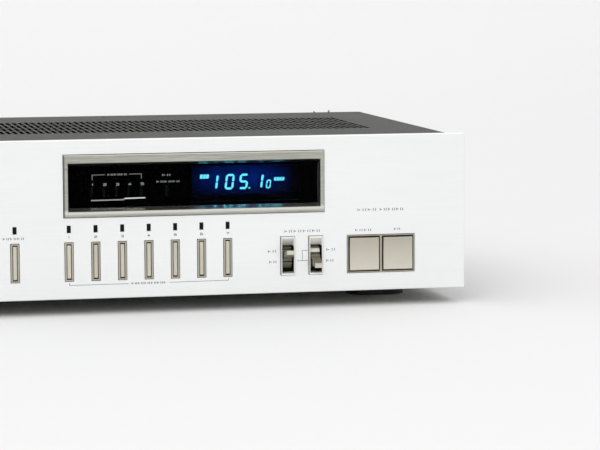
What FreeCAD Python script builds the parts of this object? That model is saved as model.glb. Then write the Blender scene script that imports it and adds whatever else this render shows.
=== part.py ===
import FreeCAD, Part
import math
import os

# A slim hi-fi stereo tuner, in millimetres: X runs along the front, Y from front to back, Z up.
# While it is built, Y = 0 is the front of the face and Z = 0 is the table. On export the whole
# assembly is moved along Y, so that the origin is the middle of its footprint.

Vector = FreeCAD.Vector

# Overall sizes
panel_width = 420.0
panel_height = 89.3
panel_thickness = 4.0
foot_height = 9.0
cabinet_depth = 249.0

# Clearances
panel_gap = 0.3
moving_gap = 0.3
screw_gap = 0.1
pin_gap = 0.06

# Sheet metal of the cabinet
sheet = 1.2
cover_sheet = 1.0
cover_drop = 1.8
cover_inset = 1.9
cover_bend = 1.6
chassis_lift = 1.5
side_flange = 22.0
fold = 12.0
rear_inset = 2.0
corner_relief = 1.1

# Ventilation slots of the cover
slot_columns = 91
slot_rows = 4
slot_pitch = 3.86
slot_row_pitch = 27.0
slot_width = 2.5
slot_length = 24.0
slot_first_row = 96.7

# Display
display_x = 52.9
display_z = 63.4
bezel_width = 148.5
bezel_height = 35.0
bezel_top_bar = 6.5
bezel_side_bar = 3.3
bezel_bottom_bar = 5.0
bezel_flare = 1.9
bezel_side_flare = 1.0
bezel_proud = 1.2
bezel_back = 5.2
window_thickness = 2.0
window_lap = 1.2
mask_sheet = 1.2
display_board_y = 15.0
vfd_x = 83.0
vfd_width = 66.0
vfd_height = 24.0
vfd_depth = 7.5
vfd_glass = 0.8
vfd_lip = 1.6
level_count = 5
level_pitch = 7.0
level_first_x = -5.0
stereo_led_x = 37.6
level_width = 1.4
level_height = 5.2
level_z = 59.4

# Controls along the lower edge of the face
control_z = 21.1
control_height = 21.5
station_count = 7
station_first_x = -18.7
station_pitch = 15.0
memory_x = -48.9
key_frame_width = 4.6
key_width = 2.3
key_height = 18.7
key_travel = 1.0
key_proud = 0.3
key_window_gap = 0.3
key_end_gap = 0.7
frame_proud = 0.2
lens_width = 1.7
lens_height = 3.6
lens_z = 39.4
lens_gap = 0.4
board_y = 15.0
board_thickness = 1.6
flange_thickness = 1.5
button_flange = 1.2
button_lap = 1.0
stem_length = 0.8

# Lever switches
lever_x = (105.9, 122.2)
lever_frame_width = 7.8
lever_frame_height = 21.8
lever_frame_proud = 1.0
lever_opening_width = 6.8
lever_opening_low = -9.8
lever_opening_high = 5.5
lever_width = 5.4
lever_drum_radius = 6.4
lever_pivot_y = 7.2
lever_pivot_z = 19.8
lever_tip_length = 16.2
lever_tip_width = 3.9
lever_tip_height = 2.2
lever_throw = 14.5
lever_pin_radius = 1.2
groove_depth = 1.4
lever_cheek = 1.2

# Tuning buttons
tune_x = 160.4
tune_frame_width = 39.4
tune_divider = 1.1
tune_rim = 0.5
tune_gap = 0.8
tune_proud = 1.4
tune_travel = 1.2
tune_scoop_radius = 70.0

# Power and mode buttons at the left end
power_x = -186.0
power_width = 18.0
power_height = 12.0
power_proud = 4.5
power_travel = 3.0
mode_x = -150.0
mode_width = 13.0
mode_height = 7.0
mode_proud = 2.5
mode_travel = 1.2

# Feet
foot_x = 170.0
foot_front_y = 56.0
foot_rear_y = 214.0
foot_width = 34.0
foot_depth = 22.0
foot_corner = 9.0
foot_peg = 8.0
peg_gap = 0.2

# Main board and what stands on it
tab_height = 6.0
tab_width = 8.0
main_board_x = (-96.0, 190.0)
main_board_y = (48.0, 228.0)
vent_columns = 8
vent_pitch = 14.0

# Rear sockets
jack_x = (-52.0, -34.0)
jack_z = 34.0
jack_radius = 4.15
jack_bore = 1.65
jack_length = 9.0
jack_plate = 1.5
jack_body_width = 32.0
jack_body_height = 12.0
coax_x = 52.0
coax_z = 34.0
coax_radius = 4.75
coax_bore = 4.0
coax_length = 10.0
coax_body = 11.0
terminal_x = 100.0
terminal_z = 34.0
terminal_count = 4
terminal_pitch = 12.0
terminal_body_height = 6.0
inlet_x = -165.0
inlet_z = 34.0
inlet_width = 17.0
inlet_height = 9.0
inlet_depth = 12.0
inlet_wall = 1.5
inlet_pin_pitch = 8.6
inlet_pin_radius = 1.2

# Ferrite rod antenna on its swivel bracket
antenna_x = 181.0
antenna_z = 74.0
antenna_reach = 11.0
antenna_length = 150.0
antenna_radius = 5.5
antenna_pin_radius = 2.0
lug_half = 5.5
ear_width = 0.9
ear_depth = 2.0
lug_thickness = 1.5
lug_space = 14.0

# Screws of the cover and of the antenna terminals
screw_radius = 1.5
screw_length = 6.0
screw_head = 2.9
screw_head_height = 1.6
terminal_head_height = 3.2

# Places worked out from the sizes above
panel_z = foot_height
panel_top = foot_height + panel_height
cover_top = panel_top - cover_drop
cover_half = panel_width / 2 - cover_inset
cover_inside = cover_half - cover_sheet
cover_ceiling = cover_top - cover_sheet
cover_front = panel_thickness + panel_gap
chassis_z = foot_height + chassis_lift
chassis_top = chassis_z + sheet
chassis_half = cover_inside - panel_gap
flange_back = panel_thickness + sheet + flange_thickness
rear_y = cabinet_depth - rear_inset
rear_inner = rear_y - sheet
board_top = chassis_top + tab_height
pin_y = rear_y + antenna_reach
control_mid = panel_z + control_z
station_x = [station_first_x + station_pitch * i for i in range(station_count)]
key_x = [memory_x] + station_x


def block(x0, x1, y0, y1, z0, z1):
    return Part.makeBox(x1 - x0, y1 - y0, z1 - z0, Vector(x0, y0, z0))


def front_block(x, z, width, height, y0, y1):
    return block(x - width / 2, x + width / 2, y0, y1, z - height / 2, z + height / 2)


def upright(x, y, z0, z1, radius):
    return Part.makeCylinder(radius, z1 - z0, Vector(x, y, z0), Vector(0, 0, 1))


def post(x, z, y0, y1, radius):
    return Part.makeCylinder(radius, y1 - y0, Vector(x, y0, z), Vector(0, 1, 0))


def crossbar(y, z, x0, x1, radius):
    return Part.makeCylinder(radius, x1 - x0, Vector(x0, y, z), Vector(1, 0, 0))


def fuse(shapes):
    return shapes[0].fuse(shapes[1:]).removeSplitter()


def edges_along(shape, axis, test=None):
    found = []
    for edge in shape.Edges:
        if len(edge.Vertexes) != 2:
            continue
        run = edge.Vertexes[1].Point.sub(edge.Vertexes[0].Point)
        if run.Length > 0 and abs(run.dot(axis)) > 0.999 * run.Length:
            if test is None or test(edge.CenterOfMass):
                found.append(edge)
    return found


def rounded_front_block(x, z, width, height, y0, y1, radius):
    shape = front_block(x, z, width, height, y0, y1)
    return shape.makeFillet(radius, edges_along(shape, Vector(0, 1, 0)))


def chamfer_front(shape, y, size):
    edges = [e for e in shape.Edges if abs(e.BoundBox.YMin - y) < 1e-6 and abs(e.BoundBox.YMax - y) < 1e-6]
    return shape.makeChamfer(size, edges)


def prism_along_x(points, x0, x1):
    corners = [Vector(x0, y, z) for y, z in points]
    face = Part.Face(Part.makePolygon(corners + corners[:1]))
    return face.extrude(Vector(x1 - x0, 0, 0))


def screw(x, y, z, direction, shank):
    """A pan-head screw: the head stands out along direction, the shank goes the other way."""
    place = Vector(x, y, z)
    head = Part.makeCylinder(screw_head, screw_head_height, place, direction)
    stem = Part.makeCylinder(screw_radius, shank, place, direction * -1)
    return head.fuse(stem).removeSplitter()


def punched_hole(side, y, z):
    """A square hole punched through both sheets at one side of the cabinet."""
    half = screw_radius + screw_gap
    inner = side * (chassis_half - sheet - 1)
    outer = side * (cover_half + 1)
    return block(min(inner, outer), max(inner, outer), y - half, y + half, z - half, z + half)


# ---------------------------------------------------------------- openings of the face

def lever_openings(gap):
    z = control_mid
    return [(x, z, lever_frame_width + 2 * gap, lever_frame_height + 2 * gap) for x in lever_x]


def button_openings(gap):
    sizes = [(tune_x, tune_frame_width, control_height), (power_x, power_width, power_height),
             (mode_x, mode_width, mode_height)]
    return [(x, control_mid, width + 2 * gap, height + 2 * gap) for x, width, height in sizes]


def face_openings(gap):
    """Centre, width and height of each opening that a front piece passes through."""
    openings = [(display_x, panel_z + display_z, bezel_width + 2 * gap, bezel_height + 2 * gap)]
    for x in key_x:
        openings.append((x, control_mid, key_frame_width + 2 * gap, control_height + 2 * gap))
        openings.append((x, panel_z + lens_z, lens_width + 2 * gap, lens_height + 2 * gap))
    return openings + lever_openings(gap) + button_openings(gap)


def front_panel():
    half = panel_width / 2
    plate = block(-half, half, 0, panel_thickness, panel_z, panel_top)
    plate = chamfer_front(plate, 0, 0.4)
    cuts = [front_block(x, z, w, h, -1, panel_thickness + 1) for x, z, w, h in face_openings(panel_gap)]
    return plate.cut(cuts)


def subchassis_windows():
    """The openings of the face again, with one window for the station keys and one for their lamps."""
    gap = panel_gap
    middle = (station_x[0] + station_x[-1]) / 2
    span = station_x[-1] - station_x[0]
    windows = [(display_x, panel_z + display_z, bezel_width + 2 * gap, bezel_height + 2 * gap)]
    rows = [(control_mid, key_frame_width, control_height), (panel_z + lens_z, lens_width, lens_height)]
    for z, width, height in rows:
        windows.append((memory_x, z, width + 2 * gap, height + 2 * gap))
        windows.append((middle, z, span + width + 2 * gap, height + 2 * gap))
    windows += lever_openings(gap)
    return windows + button_openings(gap)


def front_subchassis():
    """A steel sheet behind the face, folded back at its top and at its foot."""
    y0 = panel_thickness
    roof_z = cover_ceiling - panel_gap
    web = block(-chassis_half, chassis_half, y0, y0 + sheet, chassis_top, roof_z)
    inner = chassis_half - sheet
    foot_fold = block(-inner, inner, y0, y0 + fold, chassis_top, chassis_top + sheet)
    roof = block(-chassis_half, chassis_half, y0, y0 + fold, roof_z - sheet, roof_z)
    cuts = [front_block(x, z, w, h, y0 - 1, y0 + sheet + 1) for x, z, w, h in subchassis_windows()]
    return relieve_corners(fuse([web, foot_fold, roof]), roof_z).cut(cuts)


def relieve_corners(shape, top):
    """Takes off the two upper corners, so that the sheet clears the bends of the cover."""
    upper = edges_along(shape, Vector(0, 1, 0), lambda p: abs(p.x) > chassis_half - 0.1 and p.z > top - 0.1)
    return shape.makeChamfer(corner_relief, upper)


# ---------------------------------------------------------------- cabinet

def bottom_chassis():
    """A folded pan with side flanges, raised tabs for the main board and ventilation slots."""
    y0 = panel_thickness + sheet
    flange_top = chassis_z + side_flange
    parts = [block(-chassis_half, chassis_half, panel_thickness, rear_y, chassis_z, chassis_top)]
    parts.append(block(-chassis_half, sheet - chassis_half, y0, rear_inner, chassis_z, flange_top))
    parts.append(block(chassis_half - sheet, chassis_half, y0, rear_inner, chassis_z, flange_top))
    half = tab_width / 2
    for x, y in main_board_tabs():
        parts.append(block(x - half, x + half, y - half, y + half, chassis_top, board_top))
    peg = foot_peg / 2 + peg_gap
    cuts = []
    for x, y in foot_places():
        cuts.append(block(x - peg, x + peg, y - peg, y + peg, chassis_z - 1, chassis_top + 1))
    cuts += [punched_hole(side, y, cover_screw_z()) for side in (-1, 1) for y in cover_screw_y()]
    middle = sum(main_board_x) / 2
    for column in range(vent_columns):
        x = middle + (column - (vent_columns - 1) / 2) * vent_pitch
        cuts += [block(x - 2, x + 2, y, y + 36, chassis_z - 1, chassis_top + 1) for y in (90, 150)]
    return fuse(parts).cut(cuts)


def rear_panel():
    """The rear sheet, folded forward at its top and foot, with an opening behind each socket."""
    top = cover_ceiling - panel_gap
    web = block(-chassis_half, chassis_half, rear_inner, rear_y, chassis_top, top)
    foot_fold = block(-chassis_half + sheet, chassis_half - sheet, rear_y - fold, rear_y, chassis_top,
                      chassis_top + sheet)
    roof = block(-chassis_half, chassis_half, rear_y - fold, rear_y, top - sheet, top)
    sockets = [(sum(jack_x) / 2, jack_z, jack_body_width, jack_body_height),
               (coax_x, coax_z, coax_body, coax_body),
               (terminal_x, terminal_z, terminal_body_width(), terminal_body_height),
               (inlet_x, inlet_z, inlet_width + 2 * inlet_wall, inlet_height + 2 * inlet_wall)]
    grow = 2 * panel_gap
    cuts = [front_block(x, z, w + grow, h + grow, rear_inner - 1, rear_y + 1) for x, z, w, h in sockets]
    return relieve_corners(fuse([web, foot_fold, roof]), top).cut(cuts)


def slot_box(column, row):
    x = (column - (slot_columns - 1) / 2) * slot_pitch
    y = slot_first_row + row * slot_row_pitch
    return block(x - slot_width / 2, x + slot_width / 2, y - slot_length / 2, y + slot_length / 2,
                 cover_ceiling - 1, cover_top + 1)


def bent_u(half, top, bottom, radius, y):
    """Points and arcs of an upside-down U, from its lower left end to its lower right end."""
    turn = radius * (1 - math.sqrt(0.5))
    bends = []
    for side in (-1, 1):
        low = Vector(side * half, y, top - radius)
        middle = Vector(side * (half - turn), y, top - turn)
        bends.append((low, middle, Vector(side * (half - radius), y, top)))
    left, right = bends
    return [Part.makeLine(Vector(-half, y, bottom), left[0]), Part.Arc(*left).toShape(),
            Part.makeLine(left[2], right[2]), Part.Arc(*right).toShape(),
            Part.makeLine(right[0], Vector(half, y, bottom))]


def top_cover():
    """One sheet bent into a U over the chassis, with four rows of ventilation slots."""
    outside = bent_u(cover_half, cover_top, chassis_z, cover_bend, cover_front)
    inside = bent_u(cover_inside, cover_ceiling, chassis_z, cover_bend - cover_sheet, cover_front)
    ends = []
    for side in (-1, 1):
        ends.append(Part.makeLine(Vector(side * cover_half, cover_front, chassis_z),
                                  Vector(side * cover_inside, cover_front, chassis_z)))
    profile = Part.Wire(Part.__sortEdges__(outside + inside + ends))
    shape = Part.Face(profile).extrude(Vector(0, cabinet_depth - cover_front, 0))
    cuts = [slot_box(column, row) for column in range(slot_columns) for row in range(slot_rows)]
    cuts += [punched_hole(side, y, cover_screw_z()) for side in (-1, 1) for y in cover_screw_y()]
    return shape.cut(cuts)


def cover_screw_y():
    return (40.0, cabinet_depth - 35.0)


def cover_screw_z():
    return chassis_z + side_flange / 2


def cover_screws():
    screws = []
    for side in (-1, 1):
        for y in cover_screw_y():
            screws.append(screw(side * cover_half, y, cover_screw_z(), Vector(side, 0, 0), screw_length))
    return Part.makeCompound(screws)


def foot_places():
    return [(x, y) for y in (foot_front_y, foot_rear_y) for x in (-foot_x, foot_x)]


def foot(x, y):
    """A moulded foot with round ends and a square peg that snaps through the chassis."""
    pad = block(x - foot_width / 2, x + foot_width / 2, y - foot_depth / 2, y + foot_depth / 2, 0, chassis_z)
    pad = pad.makeFillet(foot_corner, edges_along(pad, Vector(0, 0, 1)))
    half = foot_peg / 2
    peg = block(x - half, x + half, y - half, y + half, chassis_z, chassis_top + 2)
    return pad.fuse(peg).removeSplitter()


# ---------------------------------------------------------------- display

def window_opening():
    """Low X, high X, low Z and high Z of the clear part of the display window."""
    low_x = display_x - bezel_width / 2 + bezel_side_bar
    high_x = display_x + bezel_width / 2 - bezel_side_bar
    low_z = panel_z + display_z - bezel_height / 2 + bezel_bottom_bar
    high_z = panel_z + display_z + bezel_height / 2 - bezel_top_bar
    return low_x, high_x, low_z, high_z


def grown(box, by):
    return box[0] - by, box[1] + by, box[2] - by, box[3] + by


def framed(box, y0, y1):
    return block(box[0], box[1], y0, y1, box[2], box[3])


def wire_at(box, y):
    low_x, high_x, low_z, high_z = box
    places = [(low_x, low_z), (high_x, low_z), (high_x, high_z), (low_x, high_z)]
    corners = [Vector(x, y, z) for x, z in places]
    return Part.makePolygon(corners + corners[:1])


def display_bezel():
    """A moulded frame with a wide top bar, sloped inner sides, a window seat and two ears behind."""
    half = bezel_width / 2
    z = panel_z + display_z
    body = front_block(display_x, z, bezel_width, bezel_height, -bezel_proud, bezel_back)
    body = chamfer_front(body, -bezel_proud, 0.6)
    clear = window_opening()
    seat_y = bezel_back - window_thickness
    mouth = (clear[0] - bezel_side_flare, clear[1] + bezel_side_flare, clear[2] - bezel_flare,
             clear[3] + bezel_flare)
    funnel = Part.makeLoft([wire_at(mouth, -bezel_proud), wire_at(clear, seat_y)], True)
    seat = framed(grown(clear, window_lap + 0.1), seat_y, bezel_back + 1)
    through = framed(clear, -bezel_proud - 1, bezel_back + 1)
    ears = []
    for side in (-1, 1):
        x = display_x + side * half
        ears.append(block(x - 4.5, x + 4.5, bezel_back, bezel_back + 1.5, z - 10, z + 10))
        ears.append(front_block(x + side * 2.5, z, 4, 4, bezel_back + 1.5, display_board_y))
    shape = fuse([body] + ears)
    trims = [funnel, seat, through, framed(grown(clear, window_lap + 0.1), seat_y, display_board_y)]
    return shape.cut(trims)


def display_window():
    return framed(grown(window_opening(), window_lap), bezel_back - window_thickness, bezel_back)


def display_mask():
    """The black legend plate behind the window: a tray with openings for the lamps and the tube."""
    outer = grown(window_opening(), window_lap)
    plate = framed(outer, bezel_back, display_board_y)
    hollow = framed(grown(outer, -mask_sheet), bezel_back + mask_sheet, display_board_y + 1)
    cuts = [hollow]
    for x in level_places():
        width = level_width + lens_gap
        cuts.append(front_block(x, panel_z + level_z, width, level_height + lens_gap, 0, bezel_back + 3))
    cuts.append(front_block(vfd_x, vfd_mid(), vfd_width - 4, vfd_height - 2 * vfd_lip, 0, bezel_back + 3))
    return plate.cut(cuts)


def level_places():
    return [level_first_x + level_pitch * i for i in range(level_count)] + [stereo_led_x]


def vfd_mid():
    return (window_opening()[2] + window_opening()[3]) / 2


def vfd_tube():
    y0 = bezel_back + mask_sheet + 0.2
    case = front_block(vfd_x, vfd_mid(), vfd_width, vfd_height - 2, y0, y0 + vfd_depth)
    hollow = front_block(vfd_x, vfd_mid(), vfd_width - 2 * vfd_glass, vfd_height - 2 - 2 * vfd_glass,
                         y0 + vfd_glass, y0 + vfd_depth - vfd_glass)
    pin_z = vfd_mid() - vfd_height / 2 + 2
    pins = front_block(vfd_x, pin_z, vfd_width - 12, 0.6, y0 + vfd_depth, display_board_y)
    return case.fuse(pins).cut(hollow)


def vfd_anode_plate():
    y0 = bezel_back + mask_sheet + 0.2 + vfd_depth - vfd_glass
    width = vfd_width - 2 * vfd_glass
    return front_block(vfd_x, vfd_mid(), width, vfd_height - 2 - 2 * vfd_glass, y0 - 1.6, y0)


def level_leds():
    leds = []
    for x in level_places():
        lens = front_block(x, panel_z + level_z, level_width, level_height, bezel_back + 0.3, 11)
        leads = front_block(x, panel_z + level_z, 0.6, 3.2, 11, display_board_y)
        leds.append(lens.fuse(leads).removeSplitter())
    return Part.makeCompound(leds)


def display_board():
    """The board behind the display, with the socket of the ribbon cable."""
    z = panel_z + display_z
    back = display_board_y + board_thickness
    board = front_block(display_x, z - 1, bezel_width + 14, bezel_height - 2, display_board_y, back)
    return board.fuse(front_block(display_x, z - 11, 22, 6, back, back + 5)).removeSplitter()


def display_ribbon():
    """The flat cable from the display board down to the main board, held at both ends."""
    y0 = display_board_y + board_thickness + 5
    z0 = panel_z + display_z - 11
    y1 = main_board_y[0] + 6
    z1 = board_top + board_thickness + 6
    bend = 6.0
    thick = 1.0
    middle = [(y0, z0), (y1 - bend, z0), (y1, z0 - bend), (y1, z1)]
    side = bend * math.sqrt(0.5)
    path = []
    for radius, grow in ((bend + thick / 2, thick / 2), (bend - thick / 2, -thick / 2)):
        a = Vector(0, middle[1][0], z0 + grow)
        b = Vector(0, y1 - bend + side * radius / bend, z0 - bend + side * radius / bend)
        c = Vector(0, y1 + grow, z0 - bend)
        path += [Part.makeLine(Vector(0, y0, z0 + grow), a), Part.Arc(a, b, c).toShape(),
                 Part.makeLine(c, Vector(0, y1 + grow, z1))]
    path.append(Part.makeLine(Vector(0, y0, z0 - thick / 2), Vector(0, y0, z0 + thick / 2)))
    path.append(Part.makeLine(Vector(0, y1 - thick / 2, z1), Vector(0, y1 + thick / 2, z1)))
    face = Part.Face(Part.Wire(Part.__sortEdges__(path)))
    ribbon = face.extrude(Vector(20, 0, 0))
    ribbon.translate(Vector(display_x - 10, 0, 0))
    return ribbon


# ---------------------------------------------------------------- keys and buttons

def push_button(x, z, width, height, front, seat):
    """A cap that runs in a window, its retaining flange behind seat, and a stem."""
    flange_y = seat + moving_gap
    cap = front_block(x, z, width, height, front, flange_y + button_flange)
    lap = 2 * button_lap
    flange = front_block(x, z, width + lap, height + lap, flange_y, flange_y + button_flange)
    stem = front_block(x, z, min(width, 4.0), 4.0, flange_y, stem_end(seat))
    return fuse([chamfer_front(cap, front, 0.3), flange, stem])


def stem_end(seat):
    return seat + moving_gap + button_flange + stem_length


def moulded_frame(solids, windows, flange):
    """Frames that pass through the face, joined by a flange behind the front sheet."""
    return fuse([flange] + solids).cut(windows)


def key_frame_group(places):
    z = control_mid
    solids = [front_block(x, z, key_frame_width, control_height, -frame_proud, flange_back) for x in places]
    solids += [front_block(x, z, 3, 12, flange_back, board_y) for x in (places[0] - 6.5, places[-1] + 6.5)]
    width = key_width + 2 * key_window_gap
    height = key_height + 2 * key_end_gap
    windows = [front_block(x, z, width, height, -1, flange_back + 1) for x in places]
    flange = block(places[0] - 9, places[-1] + 9, panel_thickness + sheet, flange_back,
                   z - control_height / 2 - 2.5, z + control_height / 2 + 2.5)
    return moulded_frame(solids, windows, flange)


def key_frames():
    return Part.makeCompound([key_frame_group([memory_x]), key_frame_group(station_x)])


def station_button(x):
    return push_button(x, control_mid, key_width, key_height, -key_proud, flange_back)


def indicator_leds():
    """Light guides from the key board to the face, one over each key."""
    leds = []
    for x in key_x:
        lens = front_block(x, panel_z + lens_z, lens_width, lens_height, 0.1, 8)
        body = front_block(x, panel_z + lens_z, 3.2, 5.2, 8, board_y)
        leds.append(fuse([lens, body]))
    return Part.makeCompound(leds)


def key_board():
    """One long board behind the lower controls, with a window for the tail of each lever."""
    z = panel_z + lever_pivot_z
    shape = block(mode_x - 12, tune_x + 26, board_y, board_y + board_thickness, panel_z + 6, panel_z + 44)
    return shape.cut([front_block(x, z, 4, 12, board_y - 1, board_y + 3) for x in lever_x])


def switch_places():
    """Where each push switch stands, with the end and the travel of the stem that works it."""
    reach = stem_end(flange_back)
    places = [(x, reach + key_travel) for x in key_x]
    places += [(tune_x + side * tune_offset(), reach + tune_travel) for side in (-1, 1)]
    return places + [(mode_x, stem_end(mode_seat()) + mode_travel)]


def tact_switches():
    switches = []
    for x, pressed in switch_places():
        body = front_block(x, control_mid, 6, 6, 12.2, board_y)
        switches.append(body.fuse(front_block(x, control_mid, 3, 3, pressed + moving_gap, 12.2)))
    return Part.makeCompound(switches)


def mode_seat():
    return panel_thickness + sheet


def tune_button_width():
    return (tune_frame_width - 2 * tune_rim - tune_divider - 4 * tune_gap) / 2


def tune_offset():
    return tune_button_width() / 2 + tune_divider / 2 + tune_gap


def tune_frame():
    z = control_mid
    solids = [front_block(tune_x, z, tune_frame_width, control_height, -frame_proud, flange_back)]
    edge = tune_frame_width / 2 + 4
    solids += [front_block(tune_x + side * edge, z, 3, 12, flange_back, board_y) for side in (-1, 1)]
    width = tune_button_width() + 2 * tune_gap
    height = control_height - 2 * tune_rim
    places = [tune_x + side * tune_offset() for side in (-1, 1)]
    windows = [front_block(x, z, width, height, -1, flange_back + 1) for x in places]
    flange = front_block(tune_x, z, 2 * edge + 5, control_height + 5, panel_thickness + sheet, flange_back)
    return moulded_frame(solids, windows, flange)


def tune_button(side):
    x = tune_x + side * tune_offset()
    height = control_height - 2 * tune_rim - 2 * tune_gap - 0.4
    button = push_button(x, control_mid, tune_button_width(), height, -tune_proud, flange_back)
    depth = 0.5
    scoop = crossbar(-tune_proud + depth - tune_scoop_radius, control_mid, x - 20, x + 20, tune_scoop_radius)
    return button.cut(scoop)


def power_button():
    return push_button(power_x, control_mid, power_width, power_height, -power_proud, panel_thickness + sheet)


def power_switch():
    y0 = stem_end(panel_thickness + sheet) + power_travel + moving_gap
    plunger = front_block(power_x, control_mid, 4, 4, y0, y0 + 2)
    body = front_block(power_x, control_mid, 16, 18, y0 + 2, y0 + 30)
    bridge = front_block(power_x, control_mid, 30, 18, y0 + 2, y0 + 4)
    legs = []
    for side in (-1, 1):
        leg_x = power_x + side * 14
        legs.append(front_block(leg_x, control_mid, 2, 18, panel_thickness + sheet, y0 + 4))
    return fuse([plunger, body, bridge] + legs)


def mode_button():
    return push_button(mode_x, control_mid, mode_width, mode_height, -mode_proud, mode_seat())


# ---------------------------------------------------------------- lever switches

def lever_frames():
    """Two moulded surrounds with sloped ends and the cheeks that hold the lever pins."""
    frames = []
    pivot_z = panel_z + lever_pivot_z
    low = control_mid + lever_opening_low
    high = control_mid + lever_opening_high
    end = lever_frame_height / 2
    half = lever_opening_width / 2
    front = -lever_frame_proud
    slope = [(front - 1, control_mid - end + 0.5), (front, control_mid - end + 0.9), (2.0, low),
             (12.0, low), (12.0, high), (4.5, high), (front, control_mid + end - 0.9),
             (front - 1, control_mid + end - 0.3)]
    for x in lever_x:
        tube = front_block(x, control_mid, lever_frame_width, lever_frame_height, front, flange_back)
        flange = front_block(x, control_mid, lever_frame_width + 6, lever_frame_height + 4,
                             panel_thickness + sheet, flange_back)
        cheeks = []
        for side in (-1, 1):
            cheek_x = x + side * (half + lever_cheek / 2)
            cheeks.append(front_block(cheek_x, pivot_z, lever_cheek, 10, flange_back, lever_pivot_y + 4))
        frames.append(fuse([tube, flange] + cheeks).cut(prism_along_x(slope, x - half, x + half)))
    return Part.makeCompound(frames)


def lever_pins():
    half = lever_opening_width / 2
    z = panel_z + lever_pivot_z
    pins = [crossbar(lever_pivot_y, z, x - half, x + half, lever_pin_radius) for x in lever_x]
    return Part.makeCompound(pins)


def lever(x, angle):
    """A drum on a cross pin with a finger paddle in front and a tail that works the switch."""
    pivot = Vector(x, lever_pivot_y, panel_z + lever_pivot_z)
    half = lever_width / 2
    drum = crossbar(pivot.y, pivot.z, x - half, x + half, lever_drum_radius)
    tip = lever_tip_height / 2
    root = tip + 1.0
    root_y = pivot.y - 5
    tip_half = lever_tip_width / 2
    near = (x - half, x + half, pivot.z - root, pivot.z + root)
    far = (x - tip_half, x + tip_half, pivot.z - tip, pivot.z + tip)
    paddle = Part.makeLoft([wire_at(near, root_y), wire_at(far, pivot.y - lever_tip_length)], True)
    paddle = paddle.fuse(framed(near, root_y, pivot.y))
    tail = block(x - 0.8, x + 0.8, pivot.y, pivot.y + 12.5, pivot.z - 1, pivot.z + 1)
    shape = fuse([drum, paddle, tail])
    grooves = []
    for side in (-1, 1):
        floor = pivot.y - lever_drum_radius + groove_depth
        groove = block(x - half - 1, x + half + 1, floor - 4, floor, pivot.z - 0.5, pivot.z + 0.5)
        groove.rotate(pivot, Vector(1, 0, 0), side * 34)
        grooves.append(groove)
    bore = crossbar(pivot.y, pivot.z, x - half - 1, x + half + 1, lever_pin_radius + pin_gap)
    shape = shape.cut(grooves + [bore])
    shape.rotate(pivot, Vector(1, 0, 0), angle)
    return shape


def function_switches():
    switches = []
    z = panel_z + lever_pivot_z
    y0 = board_y + board_thickness
    for x in lever_x:
        body = front_block(x, z, 10, 16, y0, y0 + 6)
        slot = front_block(x, z, 2.6, 9, y0 - 1, y0 + 4)
        switches.append(body.cut(slot))
    return Part.makeCompound(switches)


# ---------------------------------------------------------------- inside the cabinet

def main_board_tabs():
    low_x, high_x = main_board_x
    low_y, high_y = main_board_y
    return [(x, y) for x in (low_x + 6, (low_x + high_x) / 2, high_x - 6) for y in (low_y + 6, high_y - 8)]


def main_board():
    """The large board of the receiver circuits, with the socket of the ribbon cable."""
    top = board_top + board_thickness
    front = main_board_y[0]
    shape = block(*main_board_x, *main_board_y, board_top, top)
    return shape.fuse(block(display_x - 11, display_x + 11, front + 3, front + 9, top, top + 6))


def transformer_core():
    """The laminated iron core, standing on the chassis, with two windows for the winding."""
    x, y, z = transformer_place()
    shape = block(x - 33, x + 33, y - 12, y + 12, z, z + 55)
    windows = [block(x + a, x + b, y - 13, y + 13, z + 11, z + 44) for a, b in ((-22, -11), (11, 22))]
    return shape.cut(windows)


def transformer_place():
    return -150.0, 150.0, chassis_top


def transformer_winding():
    x, y, z = transformer_place()
    coil = block(x - 21.5, x + 21.5, y - 24, y + 24, z + 11, z + 43.5)
    coil = coil.makeChamfer(4, edges_along(coil, Vector(0, 0, 1)))
    return coil.cut(block(x - 11, x + 11, y - 12, y + 12, z, z + 60))


def transformer_frame():
    """The steel strap over the core, with a foot at each side."""
    x, y, z = transformer_place()
    thick = 1.5
    outer = block(x - 33 - thick, x + 33 + thick, y - 11, y + 11, z, z + 55 + thick)
    inner = block(x - 33, x + 33, y - 12, y + 12, z - 1, z + 55)
    feet = [block(x + a, x + b, y - 11, y + 11, z, z + thick) for a, b in ((-46, -33), (33, 46))]
    return fuse([outer.cut(inner)] + feet)


def tuner_shield():
    """The tinned can round the FM front end, with trimming holes in its lid."""
    z = board_top + board_thickness
    can = block(100, 165, 170, 225, z, z + 24)
    can = can.cut(block(100.6, 164.4, 170.6, 224.4, z - 1, z + 23.4))
    return can.cut([block(x - 3, x + 3, 190, 204, z + 20, z + 26) for x in (112, 126, 140, 154)])


def heat_sink():
    z = board_top + board_thickness
    x0 = -60.0
    y0 = 185.0
    parts = [block(x0, x0 + 60, y0, y0 + 3, z, z + 32)]
    for i in range(9):
        x = x0 + 7 * i
        parts.append(block(x, x + 1.6, y0 + 2, y0 + 20, z, z + 32))
    return fuse(parts)


def voltage_regulators():
    z = board_top + board_thickness
    parts = []
    for x in (-45.0, -20.0):
        tab = block(x - 5, x + 5, 183.7, 185, z + 12, z + 27)
        body = block(x - 5, x + 5, 180.5, 184, z + 10, z + 19)
        legs = [block(x + dx - 0.4, x + dx + 0.4, 182, 182.7, z, z + 11) for dx in (-2.5, 0, 2.5)]
        parts.append(fuse([tab, body] + legs))
    return Part.makeCompound(parts)


def filter_capacitors():
    z = board_top + board_thickness
    places = [(-78, 110, 9, 32), (-78, 134, 9, 32)]
    return Part.makeCompound([upright(x, y, z, z + height, radius) for x, y, radius, height in places])


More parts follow.
